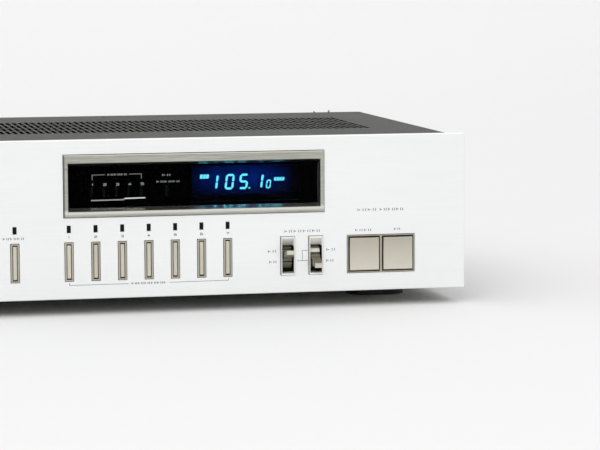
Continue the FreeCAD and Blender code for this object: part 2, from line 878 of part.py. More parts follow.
def integrated_circuits():
    z = board_top + board_thickness
    chips = []
    for x, y, length in ((10, 90, 42), (80, 90, 26), (30, 140, 22), (95, 140, 22), (140, 120, 26)):
        body = block(x - length / 2, x + length / 2, y - 3.5, y + 3.5, z + 0.8, z + 4)
        legs = block(x - length / 2 + 1, x + length / 2 - 1, y - 4, y + 4, z, z + 0.8)
        chips.append(fuse([body, legs]))
    return Part.makeCompound(chips)


def if_transformers():
    z = board_top + board_thickness
    cans = []
    for i in range(5):
        x = 20 + 24 * i
        cans.append(block(x, x + 10, 160, 170, z, z + 13))
    return Part.makeCompound(cans)


# ---------------------------------------------------------------- rear sockets

def output_jacks():
    """A moulded body behind the panel and a plate outside it, with two phono sockets."""
    middle = sum(jack_x) / 2
    body = front_block(middle, jack_z, jack_body_width, jack_body_height, rear_inner - 8, rear_y)
    front = rear_y + jack_plate
    plate = front_block(middle, jack_z, jack_body_width + 6, jack_body_height + 6, rear_y, front)
    sleeves = [post(x, jack_z, front, rear_y + jack_length, jack_radius) for x in jack_x]
    bores = [post(x, jack_z, front, rear_y + jack_length + 1, jack_bore) for x in jack_x]
    return fuse([body, plate] + sleeves).cut(bores)


def coax_socket():
    """The coaxial antenna socket: a shell with its centre pin on a flange."""
    body = front_block(coax_x, coax_z, coax_body, coax_body, rear_inner - 8, rear_y)
    flange = front_block(coax_x, coax_z, coax_body + 10, coax_body + 3, rear_y, rear_y + 1.2)
    shell = post(coax_x, coax_z, rear_y + 1.2, rear_y + coax_length, coax_radius)
    bore = post(coax_x, coax_z, rear_y + 1.2, rear_y + coax_length + 1, coax_bore)
    pin = post(coax_x, coax_z, rear_y + 1.2, rear_y + coax_length - 1, 1.2)
    return fuse([body, flange, shell]).cut(bore).fuse(pin).removeSplitter()


def terminal_places():
    first = terminal_x - terminal_pitch * (terminal_count - 1) / 2
    return [first + terminal_pitch * i for i in range(terminal_count)]


def antenna_terminals():
    """A moulded strip with a raised wall between each pair of screw terminals."""
    width = terminal_body_width()
    body = front_block(terminal_x, terminal_z, width, terminal_body_height, rear_inner - 4, rear_y)
    strip = front_block(terminal_x, terminal_z, width + 14, 18, rear_y, rear_y + 3)
    half = terminal_pitch / 2
    edges = [place - half for place in terminal_places()] + [terminal_places()[-1] + half]
    walls = [front_block(x, terminal_z, 1.5, 18, rear_y, rear_y + 8) for x in edges]
    return fuse([body, strip] + walls)


def terminal_body_width():
    return terminal_count * terminal_pitch - 6


def terminal_screws():
    y0 = rear_y + 3
    heads = [post(x, terminal_z, y0, y0 + terminal_head_height, screw_head) for x in terminal_places()]
    return Part.makeCompound(heads)


def mains_inlet():
    """A recessed two-pin inlet: a deep moulded cup with a flange outside the rear panel."""
    width = inlet_width + 2 * inlet_wall
    height = inlet_height + 2 * inlet_wall
    cup = front_block(inlet_x, inlet_z, width, height, rear_y - inlet_depth - 2, rear_y + 1)
    flange = front_block(inlet_x, inlet_z, width + 8, height + 6, rear_y, rear_y + 2)
    floor = rear_y - inlet_depth
    round_end = inlet_height / 2 - 0.05
    recess = rounded_front_block(inlet_x, inlet_z, inlet_width, inlet_height, floor, rear_y + 3, round_end)
    shape = fuse([cup, flange]).cut(recess)
    for side in (-1, 1):
        x = inlet_x + side * inlet_pin_pitch / 2
        shape = shape.fuse(post(x, inlet_z, floor - 1, rear_y - 2, inlet_pin_radius))
    return shape.removeSplitter()


# ---------------------------------------------------------------- ferrite antenna

def ferrite_bracket():
    """A plate on the rear panel, and two lugs that carry the swivel pin."""
    low = antenna_z - lug_space / 2 - lug_thickness
    high = antenna_z + lug_space / 2 + lug_thickness
    left = antenna_x - lug_half
    right = antenna_x + lug_half
    behind = cabinet_depth + panel_gap
    parts = [block(left, right, rear_y, rear_y + 1.5, low - 8, high)]
    for x, height in ((left, 0.6), (right - ear_width, 1.2)):
        parts.append(block(x, x + ear_width, behind, behind + ear_depth, high - lug_thickness, cover_top + height))
    for z in (low, high - lug_thickness):
        parts.append(block(left, right, rear_y, pin_y + lug_half, z, z + lug_thickness))
    parts.append(upright(antenna_x, pin_y, low, high, antenna_pin_radius))
    return fuse(parts)


def ferrite_antenna():
    """The moulded housing of the ferrite rod, with a knuckle that turns on the bracket's pin."""
    room = lug_space / 2 - moving_gap
    knuckle = upright(antenna_x, pin_y, antenna_z - room, antenna_z + room, lug_half - moving_gap)
    start = antenna_x - antenna_length
    rod = crossbar(pin_y, antenna_z, start, antenna_x, antenna_radius)
    rod = rod.cut(block(antenna_x - 7, antenna_x + 1, pin_y - 9, pin_y + 9, antenna_z - 9, antenna_z + 9))
    neck = block(antenna_x - 9, antenna_x, pin_y - 3, pin_y + 3, antenna_z - 4, antenna_z + 4)
    bore = upright(antenna_x, pin_y, antenna_z - 10, antenna_z + 10, antenna_pin_radius + pin_gap)
    return fuse([knuckle, rod, neck]).cut(bore)


# ---------------------------------------------------------------- the assembly

def assembly():
    parts = {
        "front_panel": front_panel(),
        "front_subchassis": front_subchassis(),
        "bottom_chassis": bottom_chassis(),
        "rear_panel": rear_panel(),
        "top_cover": top_cover(),
        "cover_screws": cover_screws(),
        "display_bezel": display_bezel(),
        "display_window": display_window(),
        "display_mask": display_mask(),
        "vfd_tube": vfd_tube(),
        "vfd_anode_plate": vfd_anode_plate(),
        "level_leds": level_leds(),
        "display_board": display_board(),
        "display_ribbon": display_ribbon(),
        "key_frames": key_frames(),
        "memory_button": station_button(memory_x),
        "indicator_leds": indicator_leds(),
        "key_board": key_board(),
        "tact_switches": tact_switches(),
        "lever_frames": lever_frames(),
        "lever_pins": lever_pins(),
        "fm_am_lever": lever(lever_x[0], -lever_throw),
        "mw_lw_lever": lever(lever_x[1], lever_throw),
        "function_switches": function_switches(),
        "tune_frame": tune_frame(),
        "tune_down_button": tune_button(-1),
        "tune_up_button": tune_button(1),
        "power_button": power_button(),
        "power_switch": power_switch(),
        "mode_button": mode_button(),
        "main_board": main_board(),
        "transformer_core": transformer_core(),
        "transformer_winding": transformer_winding(),
        "transformer_frame": transformer_frame(),
        "tuner_shield": tuner_shield(),
        "heat_sink": heat_sink(),
        "voltage_regulators": voltage_regulators(),
        "filter_capacitors": filter_capacitors(),
        "integrated_circuits": integrated_circuits(),
        "if_transformers": if_transformers(),
        "output_jacks": output_jacks(),
        "coax_socket": coax_socket(),
        "antenna_terminals": antenna_terminals(),
        "terminal_screws": terminal_screws(),
        "mains_inlet": mains_inlet(),
        "ferrite_bracket": ferrite_bracket(),
        "ferrite_antenna": ferrite_antenna(),
    }
    for name, (x, y) in zip(("front_left", "front_right", "rear_left", "rear_right"), foot_places()):
        parts["foot_" + name] = foot(x, y)
    for number, x in enumerate(station_x, start=1):
        parts["station_button_%d" % number] = station_button(x)
    return parts


def main():
    os.makedirs("parts", exist_ok=True)
    parts = assembly()
    box = Part.makeCompound(list(parts.values())).BoundBox
    to_middle = Vector(0, -(box.YMin + box.YMax) / 2, 0)
    for name, shape in parts.items():
        shape.translate(to_middle)
        shape.exportStep(os.path.join("parts", name + ".step"))
    print("parts", len(parts), "front of the face at Y =", round(to_middle.y, 3))


main()
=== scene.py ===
import math
import random

import bmesh
import bpy
from mathutils import Matrix, Vector


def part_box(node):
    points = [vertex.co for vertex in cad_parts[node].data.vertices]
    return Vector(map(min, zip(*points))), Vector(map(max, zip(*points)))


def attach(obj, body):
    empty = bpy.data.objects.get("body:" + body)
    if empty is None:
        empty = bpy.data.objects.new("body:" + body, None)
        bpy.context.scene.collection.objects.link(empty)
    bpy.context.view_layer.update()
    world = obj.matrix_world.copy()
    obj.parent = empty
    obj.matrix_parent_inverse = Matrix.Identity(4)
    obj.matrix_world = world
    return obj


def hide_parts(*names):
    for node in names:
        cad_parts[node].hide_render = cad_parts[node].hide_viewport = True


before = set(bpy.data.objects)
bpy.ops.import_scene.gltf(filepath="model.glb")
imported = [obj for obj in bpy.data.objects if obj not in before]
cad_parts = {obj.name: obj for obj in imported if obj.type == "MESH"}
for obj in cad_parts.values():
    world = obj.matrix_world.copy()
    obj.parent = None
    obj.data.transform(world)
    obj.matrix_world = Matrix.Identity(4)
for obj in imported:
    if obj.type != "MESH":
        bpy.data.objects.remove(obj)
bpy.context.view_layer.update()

# A slim hi-fi tuner. X, Y and Z are those of the frame, in metres. The print on the face and in the
# display is placed in millimetres: X from the middle of the face, Z up from its lower edge.

MM = 0.001

FACE_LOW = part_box("front_panel")[0]
FACE_Y = FACE_LOW.y
FACE_Z = FACE_LOW.z
MASK_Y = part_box("display_mask")[0].y
ANODE_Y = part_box("vfd_anode_plate")[0].y
REAR_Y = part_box("rear_panel")[1].y
PRINT_DEPTH = 0.03 * MM

LEVEL_COUNT = 5
LEVEL_PITCH = 7.0 * MM
LEVEL_WIDTH = 1.4 * MM
STATION_COUNT = 7
TERMINAL_COUNT = 4
JACK_OFFSET = 9 * MM
JACK_PLATE = 1.5 * MM

# ---------------------------------------------------------------- node helpers


def srgb(red, green, blue):
    """A linear colour from its 0 to 255 screen values."""
    def linear(value):
        value /= 255
        return value / 12.92 if value <= 0.04045 else ((value + 0.055) / 1.055) ** 2.4
    return (linear(red), linear(green), linear(blue), 1.0)


def add(tree, kind, inputs=None, **settings):
    """A new node with its settings, and its inputs linked to a socket or set to a value."""
    made = tree.nodes.new(kind)
    for name, value in settings.items():
        setattr(made, name, value)
    for key, value in (inputs or {}).items():
        if isinstance(value, bpy.types.NodeSocket):
            tree.links.new(value, made.inputs[key])
        else:
            made.inputs[key].default_value = value
    return made


def math_node(tree, operation, first, second=0.0, third=0.0):
    made = add(tree, "ShaderNodeMath", {0: first, 1: second, 2: third}, operation=operation)
    return made.outputs[0]


def new_material(name):
    material = bpy.data.materials.new(name)
    material.use_nodes = True
    tree = material.node_tree
    shader = tree.nodes["Principled BSDF"]
    place = add(tree, "ShaderNodeTexCoord").outputs["Object"]
    return material, tree, shader, place


def grain_noise(tree, place, size, stretch=(1, 1, 1), detail=5.0, rough=0.6):
    """Noise whose spots are about size metres across, drawn out by stretch along each axis."""
    scale = tuple(1 / (size * s) for s in stretch)
    mapped = add(tree, "ShaderNodeMapping", {"Vector": place, "Scale": scale})
    noise = add(tree, "ShaderNodeTexNoise", {"Vector": mapped.outputs[0], "Scale": 1.0,
                                             "Detail": detail, "Roughness": rough})
    return noise.outputs["Fac"]


def axes_of(tree, vector):
    """The X, Y and Z outputs of a vector."""
    return add(tree, "ShaderNodeSeparateXYZ", {0: vector}).outputs


def facing_of(tree):
    """The X, Y and Z outputs of the surface's normal."""
    return axes_of(tree, add(tree, "ShaderNodeNewGeometry").outputs["Normal"])


def spread(tree, value, low, high, start=0.3, end=0.7):
    """A value remapped from start to end onto low to high."""
    made = add(tree, "ShaderNodeMapRange", {"Value": value, "From Min": start, "From Max": end,
                                            "To Min": low, "To Max": high})
    return made.outputs[0]


def blend_colours(tree, factor, first, second):
    """The first colour where factor is 0 and the second where it is 1."""
    made = add(tree, "ShaderNodeMix", {0: factor, 6: first, 7: second}, data_type="RGBA")
    return made.outputs[2]


def finish_surface(tree, shader, height, depth, edge=0.0):
    """Bump from height, depth metres deep, over edges softened by a bevel of radius edge."""
    inputs = {"Height": height, "Distance": depth, "Strength": 1.0}
    if edge:
        bevel = add(tree, "ShaderNodeBevel", {"Radius": edge}, samples=4)
        inputs["Normal"] = bevel.outputs[0]
    bump = add(tree, "ShaderNodeBump", inputs)
    tree.links.new(bump.outputs[0], shader.inputs["Normal"])


def surface(name, dark, light, roughness, metallic=0.0, size=0.4 * MM, stretch=(1, 1, 1), depth=0.01 * MM,
            edge=0.15 * MM, blotch=30 * MM, specular=0.5):
    """A general finish: two tones mixed by fine grain and wide blotches, uneven gloss and a fine relief."""
    material, tree, shader, place = new_material(name)
    fine = grain_noise(tree, place, size, stretch)
    wide = grain_noise(tree, place, blotch, detail=2.0)
    mixed = math_node(tree, "MULTIPLY_ADD", wide, 0.4, math_node(tree, "MULTIPLY", fine, 0.6))
    tone = spread(tree, mixed, 0.0, 1.0, 0.35, 0.65)
    tree.links.new(blend_colours(tree, tone, dark, light), shader.inputs["Base Color"])
    low, high = roughness
    tree.links.new(spread(tree, mixed, low, high), shader.inputs["Roughness"])
    shader.inputs["Metallic"].default_value = metallic
    shader.inputs["Specular IOR Level"].default_value = specular
    finish_surface(tree, shader, fine, depth, edge)
    return material


def smooth_band(tree, value, start, end, soft):
    """1 between start and end, falling to 0 over soft at both ends."""
    rise = spread(tree, value, 0.0, 1.0, start - soft, start + soft)
    fall = spread(tree, value, 1.0, 0.0, end - soft, end + soft)
    return math_node(tree, "MULTIPLY", rise, fall)


# ---------------------------------------------------------------- finishes

def face_finish():
    """Silvered satin aluminium, brushed lengthwise."""
    material, tree, shader, place = new_material("brushed_face")
    brushed = grain_noise(tree, place, 0.12 * MM, (260, 1, 1), 3.0)
    wide = grain_noise(tree, place, 90 * MM, (3, 1, 1), 2.0)
    tone = spread(tree, math_node(tree, "MULTIPLY_ADD", wide, 0.5, math_node(tree, "MULTIPLY", brushed, 0.5)),
                  0.0, 1.0, 0.35, 0.65)
    colour = blend_colours(tree, tone, srgb(243, 245, 245), srgb(251, 252, 252))
    tree.links.new(colour, shader.inputs["Base Color"])
    tree.links.new(spread(tree, brushed, 0.36, 0.46), shader.inputs["Roughness"])
    shader.inputs["Metallic"].default_value = 0.55
    finish_surface(tree, shader, brushed, 0.0025 * MM, 0.25 * MM)
    return material


def bezel_finish():
    """Champagne metal, brushed lengthwise on its flat bars and polished where it slopes to the window, with
    painted light: a painted highlight on the lower bar, painted shade and painted reflection on the slopes,
    and painted shade on the outer wall facing left.
    """
    material, tree, shader, place = new_material("brushed_bezel")
    brushed = grain_noise(tree, place, 0.22 * MM, (60, 1, 1), 4.0)
    tone = spread(tree, brushed, 0.0, 1.0, 0.35, 0.65)
    colour = blend_colours(tree, tone, srgb(158, 157, 148), srgb(198, 198, 189))
    axes = axes_of(tree, place)
    facing = facing_of(tree)
    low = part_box("display_bezel")[0]
    # Painted highlight: a band of the lower bar is lightened to stand in for the light it catches.
    bottom_bar_highlight_mask = smooth_band(tree, axes["Z"], low.z + 1.6 * MM, low.z + 3.8 * MM, 0.5 * MM)
    bar_painted_highlight = blend_colours(tree, bottom_bar_highlight_mask, colour, srgb(222, 221, 212))
    # Painted light and shade on the slopes to the window: dark where they face down (painted shade), pale
    # elsewhere (painted reflection).
    inside = spread(tree, axes["Y"], 0.0, 1.0, FACE_Y - 1.0 * MM, FACE_Y + 0.6 * MM)
    downward_shade = spread(tree, facing["Z"], 0.0, 1.0, -0.1, -0.4)
    slopes = blend_colours(tree, downward_shade, srgb(216, 216, 208), srgb(112, 112, 108))
    painted_light_and_shade = blend_colours(tree, inside, bar_painted_highlight, slopes)
    # Painted shade: the outer wall that faces left is darkened.
    leftward = spread(tree, facing["X"], 0.0, 1.0, -0.5, -0.8)
    outer_wall_painted_shade = math_node(tree, "MULTIPLY", leftward, math_node(tree, "SUBTRACT", 1.0, inside))
    tree.links.new(blend_colours(tree, outer_wall_painted_shade, painted_light_and_shade, srgb(70, 69, 64)), shader.inputs["Base Color"])
    rough = spread(tree, brushed, 0.26, 0.4)
    polish = math_node(tree, "MULTIPLY", rough, spread(tree, inside, 1.0, 0.6, 0.0, 1.0))
    tree.links.new(polish, shader.inputs["Roughness"])
    shader.inputs["Metallic"].default_value = 0.95
    finish_surface(tree, shader, brushed, 0.006 * MM, 0.2 * MM)
    return material


def cover_finish():
    """Baked dark paint on sheet steel, mottled above, with painted shade: near-black on its underside and on
    the walls of the slots.
    """
    material, tree, shader, place = new_material("textured_cover_paint")
    fine = grain_noise(tree, place, 0.7 * MM, detail=8.0)
    wide = grain_noise(tree, place, 35 * MM, detail=3.0)
    speck = add(tree, "ShaderNodeTexVoronoi", {"Vector": place, "Scale": 900.0}).outputs["Distance"]
    tone = math_node(tree, "MULTIPLY_ADD", wide, 0.35, math_node(tree, "MULTIPLY", fine, 0.65))
    colour = blend_colours(tree, spread(tree, tone, 0.0, 1.0, 0.36, 0.64), srgb(27, 28, 22), srgb(55, 56, 46))
    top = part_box("top_cover")[1].z
    facing = facing_of(tree)
    # Painted shade: the walls of the slots and the underside of the cover are made near-black.
    upright = spread(tree, math_node(tree, "ABSOLUTE", facing["Z"]), 1.0, 0.0, 0.2, 0.5)
    in_top_sheet = spread(tree, axes_of(tree, place)["Z"], 0.0, 1.0, top - 1.1 * MM, top - 0.9 * MM)
    slot_wall_painted_shade = math_node(tree, "MULTIPLY", upright, in_top_sheet)
    underside_painted_shade = spread(tree, facing["Z"], 0.0, 1.0, -0.4, -0.7)
    shadowed = math_node(tree, "MAXIMUM", slot_wall_painted_shade, underside_painted_shade)
    tree.links.new(blend_colours(tree, shadowed, colour, srgb(6, 6, 5)), shader.inputs["Base Color"])
    tree.links.new(spread(tree, fine, 0.38, 0.6), shader.inputs["Roughness"])
    shader.inputs["Specular IOR Level"].default_value = 0.16
    relief = math_node(tree, "MULTIPLY_ADD", speck, 0.6, fine)
    finish_surface(tree, shader, relief, 0.05 * MM, 0.4 * MM)
    return material


def button_finish():
    """Champagne satin caps, with painted light that makes them lighter towards their lower edge."""
    material, tree, shader, place = new_material("satin_champagne")
    brushed = grain_noise(tree, place, 0.15 * MM, (40, 1, 1), 4.0)
    low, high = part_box("tune_up_button")
    # Painted light: the caps grow lighter towards their lower edge.
    lower_edge_painted_light = spread(tree, axes_of(tree, place)["Z"], 1.0, 0.0, low.z, high.z)
    tone = math_node(tree, "MULTIPLY_ADD", lower_edge_painted_light, 0.75, math_node(tree, "MULTIPLY", brushed, 0.3))
    colour = blend_colours(tree, tone, srgb(178, 172, 158), srgb(226, 222, 208))
    tree.links.new(colour, shader.inputs["Base Color"])
    tree.links.new(spread(tree, brushed, 0.3, 0.42), shader.inputs["Roughness"])
    shader.inputs["Metallic"].default_value = 0.8
    finish_surface(tree, shader, brushed, 0.004 * MM, 0.25 * MM)
    return material


def surround_finish():
    """Ivory surrounds of the two levers, with painted shade: black inside their openings and dark on their
    outer walls.
    """
    material, tree, shader, place = new_material("lever_surround_ivory")
    grain = grain_noise(tree, place, 0.8 * MM)
    ivory = blend_colours(tree, grain, srgb(240, 238, 230), srgb(251, 250, 246))
    axes = axes_of(tree, place)
    sideways = spread(tree, math_node(tree, "ABSOLUTE", facing_of(tree)["X"]), 0.0, 1.0, 0.6, 0.8)
    inside = 0.0
    for name in ("fm_am_lever", "mw_lw_lever"):
        centre = sum(corner.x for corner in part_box(name)) / 2
        offset = math_node(tree, "ABSOLUTE", math_node(tree, "SUBTRACT", axes["X"], centre))
        near = spread(tree, offset, 1.0, 0.0, 3.5 * MM, 3.6 * MM)
        inside = math_node(tree, "MAXIMUM", near, inside)
    low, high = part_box("lever_frames")
    middle = (low.z + high.z) / 2
    # Painted shade: the walls and the deep part inside each opening are made near-black.
    aperture = smooth_band(tree, axes["Z"], middle - 9.6 * MM, middle + 5.6 * MM, 0.3 * MM)
    deep = spread(tree, axes["Y"], 0.0, 1.0, low.y + 3.2 * MM, low.y + 4.4 * MM)
    within = math_node(tree, "MULTIPLY", aperture, math_node(tree, "MAXIMUM", sideways, deep))
    black = math_node(tree, "MULTIPLY", inside, within)
    # Painted shade: the outer side walls are darkened.
    outer_wall_painted_shade = math_node(tree, "MULTIPLY", sideways, math_node(tree, "SUBTRACT", 1.0, inside))
    with_outer_wall_shade = blend_colours(tree, outer_wall_painted_shade, ivory, srgb(92, 90, 82))
    tree.links.new(blend_colours(tree, black, with_outer_wall_shade, srgb(8, 8, 7)), shader.inputs["Base Color"])
    tree.links.new(spread(tree, grain, 0.38, 0.52), shader.inputs["Roughness"])
    finish_surface(tree, shader, grain, 0.01 * MM, 0.15 * MM)
    return material


def lever_finish(name, facet):
    """Olive lever plastic with a painted highlight on its pale tip, and a painted highlight on a facet over
    the groove where the second argument is 1.
    """
    material, tree, shader, place = new_material(name)
    low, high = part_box(name)
    axes = axes_of(tree, place)
    streaks = grain_noise(tree, place, 0.3 * MM, (1, 1, 8))
    olive = blend_colours(tree, spread(tree, streaks, 0.0, 1.0), srgb(96, 94, 78), srgb(134, 131, 112))
    # Painted highlight: the front of the tip is made pale.
    tip = spread(tree, axes["Y"], 1.0, 0.0, low.y + 0.9 * MM, low.y + 1.5 * MM)
    colour = blend_colours(tree, tip, olive, srgb(206, 202, 186))
    # Painted highlight: a pale band on the facet above the groove, standing in for light from above.
    band = smooth_band(tree, axes["Z"], high.z - 3.4 * MM, high.z - 1.5 * MM, 0.15 * MM)
    front = spread(tree, axes["Y"], 1.0, 0.0, FACE_Y + 3.6 * MM, FACE_Y + 4.0 * MM)
    pale = math_node(tree, "MULTIPLY", math_node(tree, "MULTIPLY", band, front), facet)
    tree.links.new(blend_colours(tree, pale, colour, srgb(240, 238, 230)), shader.inputs["Base Color"])
    tree.links.new(spread(tree, streaks, 0.32, 0.5), shader.inputs["Roughness"])
    finish_surface(tree, shader, streaks, 0.015 * MM, 0.2 * MM)
    return material


def smoked_finish():
    """The clear, dark acrylic of the display window."""
    material, tree, shader, place = new_material("smoked_window")
    haze = grain_noise(tree, place, 12 * MM)
    colour = blend_colours(tree, haze, srgb(1, 1, 2), srgb(4, 4, 6))
    tree.links.new(colour, shader.inputs["Base Color"])
    tree.links.new(spread(tree, haze, 0.02, 0.06), shader.inputs["Roughness"])
    shader.inputs["Alpha"].default_value = 0.3
    shader.inputs["Specular IOR Level"].default_value = 0.03
    material.surface_render_method = "BLENDED"
    return material


def tube_glass_finish():
    """The thin clear glass of the display tube."""
    material, tree, shader, place = new_material("tube_glass_clear")
    haze = grain_noise(tree, place, 8 * MM)
    colour = blend_colours(tree, haze, srgb(10, 14, 22), srgb(20, 26, 36))
    tree.links.new(colour, shader.inputs["Base Color"])
    tree.links.new(spread(tree, haze, 0.03, 0.08), shader.inputs["Roughness"])
    shader.inputs["Alpha"].default_value = 0.12
    shader.inputs["Specular IOR Level"].default_value = 0.05
    material.surface_render_method = "BLENDED"
    return material


def anode_finish():
    """The anode plate of the tube, with a painted glow that stands in for the dim blue light of its filaments
    and segments.
    """
    material, tree, shader, place = new_material("anode_glow")
    low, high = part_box("vfd_anode_plate")
    axes = axes_of(tree, place)
    middle = (low.z + high.z) / 2
    across = smooth_band(tree, axes["X"], low.x + 8 * MM, high.x - 12 * MM, 8 * MM)
    up = smooth_band(tree, axes["Z"], middle - 2.5 * MM, middle + 8 * MM, 5 * MM)
    streaks = grain_noise(tree, place, 3.5 * MM, (1, 1, 30), 2.0)
    # Painted glow: the plate emits blue light around the digits.
    painted_glow = math_node(tree, "MULTIPLY", math_node(tree, "MULTIPLY", across, up),
                     spread(tree, streaks, 0.35, 1.0))
    colour = blend_colours(tree, painted_glow, srgb(0, 0, 5), srgb(0, 54, 178))
    shader.inputs["Base Color"].default_value = srgb(1, 2, 5)
    shader.inputs["Specular IOR Level"].default_value = 0.03
    tree.links.new(colour, shader.inputs["Emission Color"])
    shader.inputs["Emission Strength"].default_value = 1.0
    tree.links.new(spread(tree, streaks, 0.35, 0.5), shader.inputs["Roughness"])
    return material


def level_lamp_finish():
    """Green lamp lenses, blacked out but for a narrow bar in the middle of each."""
    material, tree, shader, place = new_material("level_lens_green")
    low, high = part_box("level_leds")
    half = LEVEL_WIDTH / 2
    centres = [low.x + half + LEVEL_PITCH * i for i in range(LEVEL_COUNT)] + [high.x - half]
    across = axes_of(tree, place)["X"]
    bar = 0.0
    for centre in centres:
        offset = math_node(tree, "ABSOLUTE", math_node(tree, "SUBTRACT", across, centre))
        bar = math_node(tree, "MAXIMUM", spread(tree, offset, 1.0, 0.0, 0.32 * MM, 0.46 * MM), bar)
    grain = grain_noise(tree, place, 1 * MM)
    green = blend_colours(tree, grain, srgb(22, 38, 34), srgb(34, 54, 48))
    tree.links.new(blend_colours(tree, bar, srgb(3, 4, 4), green), shader.inputs["Base Color"])
    tree.links.new(spread(tree, grain, 0.3, 0.5), shader.inputs["Roughness"])
    shader.inputs["Specular IOR Level"].default_value = 0.06
    return material


def glowing(name, core, edge, strength):
    """A surface that emits slightly uneven light: lit phosphor, and print given a painted glow."""
    material, tree, shader, place = new_material(name)
    uneven = grain_noise(tree, place, 0.5 * MM)
    shader.inputs["Base Color"].default_value = core
    tree.links.new(blend_colours(tree, uneven, edge, core), shader.inputs["Emission Color"])
    shader.inputs["Emission Strength"].default_value = strength
    shader.inputs["Roughness"].default_value = 0.5
    return material


def board_finish():
    """Green solder mask over copper tracks."""
    material, tree, shader, place = new_material("green_board")
    cells = add(tree, "ShaderNodeTexBrick", {"Vector": place, "Scale": 140.0, "Mortar Size": 0.06,
                                             "Brick Width": 1.7, "Row Height": 0.45,
                                             "Color1": srgb(22, 74, 44), "Color2": srgb(28, 92, 52),
                                             "Mortar": srgb(60, 130, 70)})
    wide = grain_noise(tree, place, 20 * MM)
    colour = blend_colours(tree, spread(tree, wide, 0.0, 0.6), cells.outputs["Color"], srgb(20, 66, 40))
    tree.links.new(colour, shader.inputs["Base Color"])
    tree.links.new(spread(tree, wide, 0.3, 0.5), shader.inputs["Roughness"])
    finish_surface(tree, shader, cells.outputs["Fac"], 0.04 * MM)
    return material


def banded(name, first, second, axis, period, roughness, metallic=0.0, depth=0.05 * MM):
    """Parallel bands across one axis: laminations, wound tape, or the wires of a flat cable."""
    material, tree, shader, place = new_material(name)
    along = axes_of(tree, place)[axis]
    wave = math_node(tree, "PINGPONG", along, period / 2)
    band = spread(tree, wave, 0.0, 1.0, 0.1 * period, 0.4 * period)
    wear = grain_noise(tree, place, 2 * MM)
    colour = blend_colours(tree, math_node(tree, "MULTIPLY_ADD", wear, 0.25, band), first, second)
    tree.links.new(colour, shader.inputs["Base Color"])
    tree.links.new(spread(tree, wear, *roughness), shader.inputs["Roughness"])
    shader.inputs["Metallic"].default_value = metallic
    finish_surface(tree, shader, band, depth)
    return material


def galvanised(name, dark, light):
    """Bare zinc-plated sheet with a faint spangle."""
    material, tree, shader, place = new_material(name)
    cells = add(tree, "ShaderNodeTexVoronoi", {"Vector": place, "Scale": 160.0}).outputs["Color"]
    spangle = add(tree, "ShaderNodeRGBToBW", {0: cells}).outputs[0]
    rolled = grain_noise(tree, place, 0.3 * MM, (20, 1, 1))
    tone = math_node(tree, "MULTIPLY_ADD", spangle, 0.35, math_node(tree, "MULTIPLY", rolled, 0.65))
    tree.links.new(blend_colours(tree, tone, dark, light), shader.inputs["Base Color"])
    tree.links.new(spread(tree, tone, 0.3, 0.48), shader.inputs["Roughness"])
    shader.inputs["Metallic"].default_value = 0.9
    finish_surface(tree, shader, rolled, 0.008 * MM, 0.2 * MM)
    return material


BLACK_PLASTIC_AND_RECESS_SHADE = surface("black_moulding", srgb(18, 18, 19), srgb(34, 34, 36), (0.35, 0.55), depth=0.02 * MM)
KEY_METAL = surface("key_champagne", srgb(196, 191, 177), srgb(224, 219, 205), (0.3, 0.42), 0.7,
                    0.12 * MM, (1, 1, 30), 0.004 * MM)
FRAME_PLASTIC = surface("frame_beige", srgb(166, 161, 146), srgb(192, 187, 172), (0.36, 0.5), 0.3)
NICKEL = surface("nickel_plate", srgb(176, 174, 168), srgb(204, 202, 196), (0.18, 0.3), 0.95)
BLACK_MASK = surface("mask_black", srgb(1, 1, 2), srgb(4, 4, 5), (0.5, 0.7), specular=0.02)
LENS = surface("unlit_lens_green", srgb(6, 14, 9), srgb(12, 24, 16), (0.1, 0.2), size=1 * MM, specular=0.12)
PRINT_GREY = surface("printed_grey", srgb(34, 34, 36), srgb(50, 50, 52), (0.5, 0.7), edge=0.0)
SCREW_BLACK = surface("screw_black_oxide", srgb(22, 22, 23), srgb(44, 44, 45), (0.3, 0.5), 0.7)
SCREW_ZINC = surface("screw_zinc", srgb(150, 148, 140), srgb(190, 188, 178), (0.22, 0.38), 0.9)
REAR_PAINT = surface("rear_black_paint", srgb(26, 26, 27), srgb(44, 44, 45), (0.4, 0.6), size=0.6 * MM,
                     depth=0.04 * MM, edge=0.3 * MM)
SLEEVE = banded("capacitor_sleeve_blue", srgb(18, 32, 66), srgb(30, 50, 96), "Z", 9 * MM, (0.25, 0.4))
SOCKET = surface("socket_moulding", srgb(20, 20, 22), srgb(38, 38, 40), (0.3, 0.5))
HEAT_SINK = surface("heat_sink_aluminium", srgb(120, 122, 124), srgb(160, 162, 164), (0.35, 0.5), 0.9,
                    0.2 * MM, (1, 1, 30))
STEEL_PIN = surface("bright_steel", srgb(150, 150, 150), srgb(190, 190, 190), (0.18, 0.3), 0.95)
FOOT = surface("foot_rubberised", srgb(20, 20, 20), srgb(36, 36, 36), (0.5, 0.75), depth=0.05 * MM)
BEZEL = bezel_finish()
BUTTON = button_finish()
ZINC = galvanised("zinc_sheet", srgb(140, 141, 138), srgb(184, 185, 180))
TINNED = galvanised("tinned_sheet", srgb(160, 162, 164), srgb(204, 206, 206))
BOARD = board_finish()

